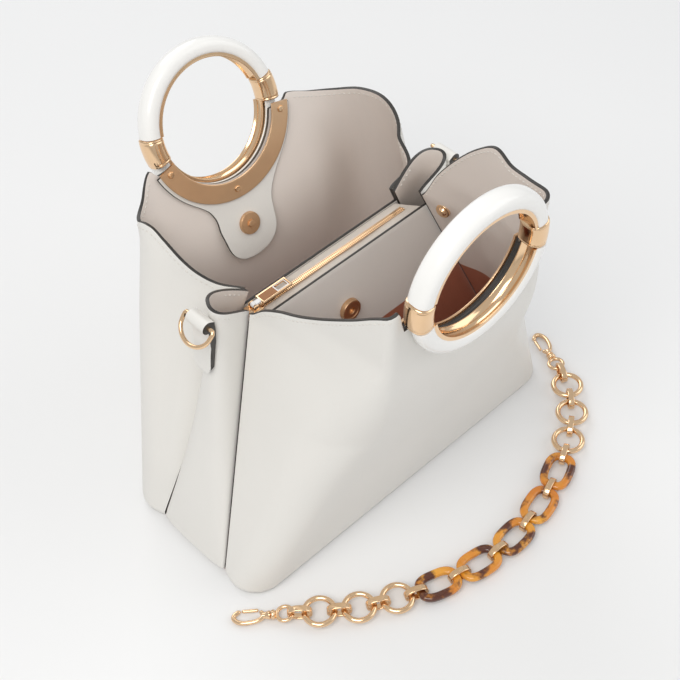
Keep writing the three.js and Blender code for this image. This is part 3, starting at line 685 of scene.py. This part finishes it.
# Ring handles: each a round of white resin, D-shaped in section, with a polished gold channel let into its
# inner side and a gold cuff over the joint on each side. A brushed gold plate with hexagonal rivets clamps
# the leather along the lower half, and the panel's tongue runs on below it.
TUBE_R, GRIP_H, REST_H = RING_MID * 0.137, (5 * MM, 7.5 * MM), (7.5 * MM, 6 * MM)
TONGUE_T, TONGUE_X, SNAP_DROP = 1.8 * MM, -5 * MM, RING_MID * 1.6
TONGUE_DEG = (3, 8, 12.5, 16, 20, 25, 31, 40, 58, 76)
TONGUE_REACH = (2.16, 2.1, 1.95, 1.7, 1.47, 1.35, 1.28, 1.245, 1.235, 1.235)
TONGUE_OFF = WALL / 2 + 0.3 * MM + TONGUE_T / 2
PLATE_T, RIVETS = 1.5 * MM, (-0.33, -1.67, -2.82)

resin_finish = Finish("white_resin")
cloud = resin_finish.noise(22, 3)
resin_finish.bump(resin_finish.noise(90, 2), 0.00004, 0.4)
resin = resin_finish.paint(Base_Color=resin_finish.mix(cloud, (0.84, 0.83, 0.80), (0.90, 0.89, 0.87)),
                           Roughness=cloud * 0.06 + 0.2, Coat_Weight=0.3, Coat_Roughness=0.08)


def sweep(name, path, b, section, closed=False, swell=None):
    """A section of (out, up) points carried along path; up is b, out is square to it and to the path."""
    path, n = np.array(path), len(path)
    ahead_of = np.roll(path, -1, 0) if closed else np.r_[path[1:], [2 * path[-1] - path[-2]]]
    behind = np.roll(path, 1, 0) if closed else np.r_[[2 * path[0] - path[1]], path[:-1]]
    tangent = ahead_of - behind
    out = np.cross(tangent, b)
    out /= np.linalg.norm(out, axis=1)[:, None]
    b = np.array(b)

    def point(c, r):
        i, (o, h) = c % n, section[r % len(section)]
        k = swell[i] if swell is not None else 1
        return path[i] + out[i] * o * k + b * h * k

    obj = loft(name, n + 1 if closed else n, len(section) + 1, point)
    only(obj)
    bpy.ops.object.mode_set(mode="EDIT")
    bpy.ops.mesh.select_all(action="SELECT")
    bpy.ops.mesh.remove_doubles(threshold=0.00001)
    if not closed:
        bpy.ops.mesh.fill_holes(sides=0)
        bpy.ops.mesh.select_all(action="SELECT")
    bpy.ops.mesh.normals_make_consistent(inside=False)
    bpy.ops.object.mode_set(mode="OBJECT")
    return obj


def oval(w, h, power=2, count=24):
    """Section points of a rounded form, half sizes w out and h up."""
    pts = []
    for a in np.linspace(0, 2 * math.pi, count, endpoint=False):
        c, s = math.cos(a), math.sin(a)
        pts.append((math.copysign(abs(c) ** (2 / power), c) * w, math.copysign(abs(s) ** (2 / power), s) * h))
    return pts


def turned(name, profile, origin, axis, side_way, sides=48):
    """A profile of (radius, height) points turned round axis, standing on origin."""
    axis, side_way, origin = (np.array(v, float) for v in (axis, side_way, origin))
    third = np.cross(axis, side_way)

    def point(c, r):
        a, (radius, height) = 2 * math.pi * (c % sides) / sides, profile[r]
        return origin + axis * height + (side_way * math.cos(a) + third * math.sin(a)) * radius

    return loft(name, sides + 1, len(profile), point, wrap=True)


def rounded(r0, r1, h0, h1, e):
    """Profile of a disc from height h0 to h1, radius r0 below and r1 above, its rims rounded by e."""
    pts = [(0, h0)]
    pts += [(r0 - e + e * math.sin(a), h0 + e - e * math.cos(a)) for a in np.linspace(0, math.pi / 2, 5)]
    pts += [(r1 - e + e * math.cos(a), h1 - e + e * math.sin(a)) for a in np.linspace(0, math.pi / 2, 5)]
    return pts + [(0, h1)]


X_AXIS = np.array([1.0, 0, 0])
for side in PANELS:
    q = PANELS[side]
    centre = np.array([0, q["s"] * q["y"], q["z"]])
    sin, cos = math.sin(q["lean"]), math.cos(q["lean"])
    up, normal = np.array([0, q["s"] * sin, cos]), np.array([0, q["s"] * cos, -sin])

    def at(r, a, h=0):
        return centre + X_AXIS * r * math.cos(a) + up * r * math.sin(a) + normal * h

    gap_angle = 0.4 * MM / RING_MID
    for part, (mid, half), way in (("grip", GRIP_H, 1), ("rest", REST_H, -1)):
        path = [at(RING_MID, way * a, mid)
                for a in np.linspace(CUFF + gap_angle, math.pi - CUFF - gap_angle, 97)]
        # The path runs opposite ways above and below, so the ring's inner side changes sign.
        inner = 1 if np.cross(path[1] - path[0], normal) @ (centre - path[0]) > 0 else -1
        shell = []
        for a in np.linspace(0, 2 * math.pi, 40, endpoint=False):
            c, s = math.cos(a), math.sin(a)
            o = math.copysign(abs(c) ** 0.8, c) * TUBE_R if c > -0.55 else -0.62 * TUBE_R
            shell.append((-inner * o, math.copysign(abs(s) ** 0.8, s) * half))
        settle(sweep(f"ring_{side}_{part}", path, normal, shell), f"ring_{side}_{part}", [resin], "resin",
               nodes=[f"handle_{side}_{part}"], smooth=60)
        rim, deep = 0.86 * half, 0.5 * TUBE_R
        lip = [(deep, rim * 0.96), (0.9 * TUBE_R, rim), (TUBE_R, rim * 0.97), (TUBE_R, rim * 0.88)]
        hollow = [(TUBE_R * (0.98 - 0.34 * math.cos(t * math.pi / 2) ** 0.8), rim * 0.84 * t)
                  for t in np.linspace(-1, 1, 17)]
        channel = [(inner * o, h) for o, h in [(o, -h) for o, h in lip] + hollow + lip[::-1]]
        settle(sweep(f"channel_{side}_{part}", path, normal, channel), f"channel_{side}_{part}",
               [gold], "gold", smooth=50)
    for tag, a in (("right", 0), ("left", math.pi)):
        path = [at(RING_MID, a + t * CUFF, GRIP_H[0]) for t in np.linspace(-1, 1, 33)]
        swell = [1 - 0.09 * max(0, abs(t) - 0.9) ** 2 / 0.01 - 0.05 * math.exp(-((abs(t) - 0.8) / 0.03) ** 2)
                 for t in np.linspace(-1, 1, 33)]
        section = oval(TUBE_R + 0.8 * MM, GRIP_H[1] + 0.8 * MM, 2.5, 40)
        cuff = sweep(f"cuff_{side}_{tag}", path, normal, section, swell=swell)
        settle(cuff, f"cuff_{side}_{tag}", [gold], "gold", nodes=[f"handle_{side}_cuff_{tag}"], smooth=50)

    plate_h = -(TONGUE_OFF + TONGUE_T / 2 + 0.3 * MM + PLATE_T / 2)
    plate_mid, plate_half = (CUT_R + PLATE_R) / 2, (PLATE_R - CUT_R) / 2
    path = [at(plate_mid, a, plate_h) for a in np.linspace(-CUFF - 0.04, CUFF + 0.04 - math.pi, 97)]
    plate = sweep(f"plate_{side}", path, normal, oval(plate_half, PLATE_T / 2, 9, 44))
    settle(plate, f"plate_{side}", [brushed_gold], "gold", nodes=[f"handle_{side}_plate"], smooth=40)
    for k, a in enumerate(RIVETS):
        spot = centre + X_AXIS * q["s"] * plate_mid * math.cos(a) + up * plate_mid * math.sin(a)
        head = turned("rivet", rounded(2.6 * MM, 2.1 * MM, -0.3 * MM, 1.1 * MM, 0.3 * MM),
                      spot + normal * (plate_h - PLATE_T / 2), -normal, up, 6)
        settle(head, f"rivet_{side}_{k + 1}", [gold], "gold", smooth=25)

    def lie(x, drop):
        z = q["z"] - drop * cos
        off = TONGUE_OFF + 3.5 * MM * ease((drop - PLATE_R) / RING_MID)
        return np.array([x, q["s"] * (panel_y(side, 1, z) - off / cos), z])

    degs = [-d for d in reversed(TONGUE_DEG)] + list(TONGUE_DEG)
    reaches = list(reversed(TONGUE_REACH)) + list(TONGUE_REACH)

    def tongue_point(c, r):
        a, reach = math.radians(along(degs, c / 79)), along(reaches, c / 79)
        radius = lerp(CUT_R + MM, reach * RING_MID, r / 31)
        return lie(radius * math.sin(a) + q["s"] * TONGUE_X * ease((radius - PLATE_R) / (20 * MM)),
                   radius * math.cos(a))

    sheet = loft(f"tongue_{side}", 80, 32, tongue_point)
    skin(sheet, f"tongue_{side}", [f"tongue_{side}"], (leather, leather, ink), TONGUE_T, 0.4 * MM)

    high, spot, low = (lie(q["s"] * TONGUE_X, SNAP_DROP + d * MM) for d in (-6, 0, 6))
    face_n = np.cross(X_AXIS, high - low) * q["s"]
    face_n /= np.linalg.norm(face_n)
    foot = spot + face_n * (TONGUE_T / 2 + 0.5 * MM)
    disc = turned("disc", rounded(8 * MM, 7.7 * MM, -0.6 * MM, 1.7 * MM, 0.35 * MM), foot, face_n, X_AXIS)
    nub = turned("nub", rounded(3 * MM, 2.7 * MM, MM, 3.4 * MM, 0.35 * MM), foot, face_n, X_AXIS, 6)
    settle(join(disc, nub), f"snap_{side}", [matt_gold], "gold", nodes=[f"tongue_{side}_snap"], smooth=28)

# Magnet and stud: the closure's round magnet on the pocket's front wall, and a small stud in the front wing.
magnet_z = H * 0.76
tilt = (wall_y(magnet_z - 10 * MM) - wall_y(magnet_z + 10 * MM)) / (20 * MM)
magnet_n = np.array([0, -1, tilt]) / math.hypot(1, tilt)
foot = np.array([0, -wall_y(magnet_z), magnet_z]) + magnet_n * (POCKET_WALL / 2 + 0.1 * MM)
profile = rounded(8 * MM, 7.6 * MM, 0, 3.5 * MM, 0.4 * MM)[:-1]
dish = ((5.6, 3.5), (5.3, 3.2), (2.7, 3.1), (2.4, 2.8), (2.4, 1.4), (0, 1.4))
profile += [(r * MM, h * MM) for r, h in dish]
settle(turned("magnet", profile, foot, magnet_n, X_AXIS), "magnet", [matt_gold], "gold",
       nodes=["pocket_magnet"], smooth=30)
stud_z = H * 0.99
a, b = (wing_point("front", 1, share, stud_z) for share in (0.86, 0.88))
run_way = np.array([b[0] - a[0], -(b[1] - a[1]), 0]) / math.hypot(b[0] - a[0], b[1] - a[1])
inward = np.cross(run_way, [0, 0, 1])
inward *= -1 if inward[0] > 0 else 1
foot = np.array([a[0], -a[1], stud_z]) + inward * (WALL / 2 + 0.2 * MM)
profile = rounded(5.2 * MM, 5 * MM, 0, 1.9 * MM, 0.35 * MM)[:-1] + [(3.1 * MM, 1.9 * MM)]
profile += rounded(3 * MM, 2.3 * MM, 2 * MM, 3.8 * MM, 0.5 * MM)[3:]
settle(turned("stud", profile, foot, inward, run_way), "stud", [gold], "gold", nodes=["wing_stud"], smooth=30)

# D-ring tabs: a strip of the leather folded over each D-ring's bar and sewn to the gusset's fold, its cut
# sides painted dark. The D-rings are bent from round brass wire.
TAB_W, TAB_LOW, TAB_ROLL, BAR_Z, BAR_OUT = 16.5 * MM, H * 0.85, 4.3 * MM, H * 1.075, 5.2 * MM


def ridge(z):
    return max(gusset_point(a, z)[0] for a in (-0.9, -0.6, -0.3, 0)) + WALL / 2 + 0.7 * MM


bar_x = ridge(BAR_Z) + BAR_OUT
for name, hand, body in (("left", -1, "dring_l"), ("right", 1, "dring_r")):
    line = [(ridge(TAB_LOW) + 0.2 * MM, TAB_LOW), (ridge(TAB_LOW + MM) + 2.2 * MM, TAB_LOW + 0.4 * MM)]
    line += [(ridge(TAB_LOW + u) + lerp(2.6 * MM, 3.8 * MM, ease(u / (20 * MM))), TAB_LOW + u)
             for u in np.linspace(3, 24, 8) * MM]
    line += [(bar_x + 0.4 * MM, BAR_Z - TAB_ROLL)]
    line += [(bar_x + TAB_ROLL * math.cos(a), BAR_Z + TAB_ROLL * math.sin(a))
             for a in np.linspace(-math.pi * 0.42, math.pi * 0.72, 18)]
    line += [(ridge(BAR_Z + u * MM) + 0.1 * MM, BAR_Z + u * MM) for u in (2, -6, -14, -24, -34)]
    widths = (-1, -0.97, -0.6, -0.2, 0.2, 0.6, 0.97, 1)

    def tab_point(c, r):
        x, z = line[c % len(line)]
        narrow = 1 - 0.75 * max(0, 1 - (z - TAB_LOW) / (7 * MM)) ** 2
        return hand * x, widths[r] * TAB_W / 2 * narrow, z

    tab = loft("tab", len(line) + 1, len(widths), tab_point, wrap=True)
    only(tab)
    bpy.ops.object.mode_set(mode="EDIT")
    bpy.ops.mesh.select_all(action="SELECT")
    bpy.ops.mesh.fill_holes(sides=0)
    bpy.ops.mesh.select_all(action="SELECT")
    bpy.ops.mesh.normals_make_consistent(inside=False)
    bpy.ops.object.mode_set(mode="OBJECT")
    modify(tab, "BEVEL", width=0.35 * MM, segments=2, limit_method="ANGLE", angle_limit=math.radians(60))
    for finish in (leather, ink):
        tab.data.materials.append(finish)
    for face in tab.data.polygons:
        face.material_index = 1 if abs(face.normal.y) > 0.6 or face.normal.z < -0.8 else 0
    settle(tab, f"tab_{name}", [], "leather", nodes=[f"dring_tab_{name}"], smooth=40)

    hang = np.array([hand * 0.68, 0, -0.73]) / math.hypot(0.68, 0.73)
    bar = np.array([hand * bar_x, 0, BAR_Z])
    path = [bar + [0, y * MM, 0] for y in np.linspace(-12.4, 12.4, 9)]
    for a in np.linspace(0.03, math.pi - 0.03, 45):
        drop = 0.4 + 3.6 * min(1, math.sin(a) * 4) + 11.5 * math.sin(a)
        path.append(bar + [0, 13 * MM * math.cos(a), 0] + hang * drop * MM)
    settle(sweep("dring", path, np.cross([0, 1, 0], hang), oval(1.45 * MM, 1.45 * MM, 2, 16), closed=True),
           f"dring_wire_{name}", [gold], "gold", body, [f"dring_{name}"], smooth=60)

# Chain strap, laid loose on the floor: round wire rings and flat tortoiseshell resin links, each held between
# two ovals of upright gold ribbon. Each link lies where its solid lies, turned along the chain.
# For each kind: half lengths along and across, half sizes of the wire, and how square outline and wire are.
LINKS = {"ring": (10.1 * MM, 10.1 * MM, 1.9 * MM, 1.9 * MM, 2, 2),
         "shell": (13 * MM, 8.3 * MM, 2.9 * MM, 2.3 * MM, 3, 2.8),
         "link": (7.7 * MM, 5 * MM, 0.75 * MM, 2.1 * MM, 2.2, 5)}
order, counts, chain = ["link"] + ["ring", "link"] * 3 + ["shell", "link"] * 5 + ["ring", "link"] * 3, {}, []
for kind in order:
    counts[kind] = counts.get(kind, 0) + 1
    node = f"chain_{kind}_{counts[kind]:02d}"
    low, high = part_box(node)
    chain.append((kind, node, (np.array(low) + np.array(high)) / 2))

shell_finish = Finish("tortoiseshell")
warp = shell_finish.noise(55, 3)
blots = (shell_finish.noise(95, 4) * 0.7 + warp * 0.45).step(0.55, 0.66)
honey = shell_finish.mix(shell_finish.noise(40, 2).step(0.3, 0.7), (0.78, 0.36, 0.04), (0.62, 0.20, 0.02))
shell_finish.bump(shell_finish.noise(120, 2), 0.00005, 0.4)
tortoise = shell_finish.paint(Base_Color=shell_finish.mix(blots, honey, (0.09, 0.022, 0.008)),
                              Roughness=blots * 0.05 + 0.11, Coat_Weight=0.5, Coat_Roughness=0.05)
Z_AXIS = np.array([0, 0, 1.0])
for k, (kind, node, mid) in enumerate(chain):
    way = chain[min(k + 1, len(chain) - 1)][2] - chain[max(k - 1, 0)][2]
    way[2] = 0
    way /= np.linalg.norm(way)
    v = np.cross(Z_AXIS, way)
    across, b = (Z_AXIS, v) if kind == "link" else (v, Z_AXIS)
    reach, half, w, h, power, corner = LINKS[kind]
    path = [mid + way * o + across * u for o, u in oval(reach, half, power, 56)]
    obj = sweep(node, path, b, oval(w, h, corner, 20), closed=True)
    finish, slot = (tortoise, "tortoise") if kind == "shell" else (gold, "gold")
    settle(obj, node + "_fine", [finish], slot, nodes=[node], smooth=60)

# Snap hooks: an eye through the chain's last link, a polished barrel, and a long hook that swivels in it,
# closed by a sprung gate on one side.
BARREL = ((5.7, 0), (5.75, 1.6), (6.1, 2.4), (6.6, 3), (7.2, 3.3), (8.2, 3.3), (8.8, 3), (9.2, 2.5),
          (9.25, 1.1), (13, 1.1), (13, 0))
HOOK_BASE = ((9.5, 0), (9.5, 2.4), (9.8, 2.9), (11, 2.9), (11.6, 2.5), (13, 2.3), (14.9, 2.1), (15.3, 1.4),
             (15.3, 0))
HOOKS = {"left": ("l", (-135.302, -87.180, 5.108), (-0.73650, 0.67047, -0.08964), (0.67318, 0.73948, 0)),
         "right": ("r", (153.386, -70.693, 5.108), (0.40815, 0.90850, -0.08964), (-0.91218, 0.40980, 0))}
for name, (tag, origin, u, v) in HOOKS.items():
    e, u, v = np.array(origin) * MM, np.array(u), np.array(v)
    w = np.cross(u, v)

    def spot(x, y):
        return e + (u * x + v * y) * MM

    circle = [spot(5.3 * math.cos(a), 5.3 * math.sin(a))
              for a in np.linspace(0, 2 * math.pi, 48, endpoint=False)]
    ring = sweep("eye", circle, w, oval(1.3 * MM, 1.3 * MM, 2.4, 16), closed=True)
    barrel = turned("barrel", [(r * MM, x * MM) for x, r in BARREL], e, u, v)
    settle(join(ring, barrel), f"hook_eye_{name}_fine", [gold], "gold", nodes=[f"hook_eye_{name}"], smooth=40)
    base = turned("base", [(r * MM, x * MM) for x, r in HOOK_BASE], e, u, v)
    path = []
    for a in np.linspace(1.02, -3.86, 72):
        c, s = math.cos(a), math.sin(a)
        full = 1 + 0.07 * max(0, c) * (1 - c) * 4
        path.append(spot(24.4 + 10 * c, 4.7 * s * full))
    fade = [math.sqrt(max(0.15, 1 - max(0, 1 - k / 3) ** 2, 0)) if k < 3 else 1 for k in range(72)]
    both_ends = [min(a, b) for a, b in zip(fade, fade[::-1])]
    wire = sweep("hook", path, w, oval(1.5 * MM, 1.5 * MM, 2.3, 18), swell=both_ends)
    settle(join(wire, base), f"hook_{name}_fine", [gold], "gold", f"hook_{tag}",
           [f"hook_body_{name}"], smooth=45)
    xs = np.linspace(17.5, 29.0, 24)
    gate = sweep("gate", [spot(x, 4.1) for x in xs], w, oval(1.05 * MM, 1.15 * MM, 3, 18),
                 swell=[math.sqrt(max(0.1, 1 - max(0, 1 - min(x - 17.5, 29.0 - x) / 1.1) ** 2)) for x in xs])
    settle(gate, f"gate_{name}_fine", [gold], "gold", f"gate_{tag}", [f"hook_gate_{name}"], smooth=45)
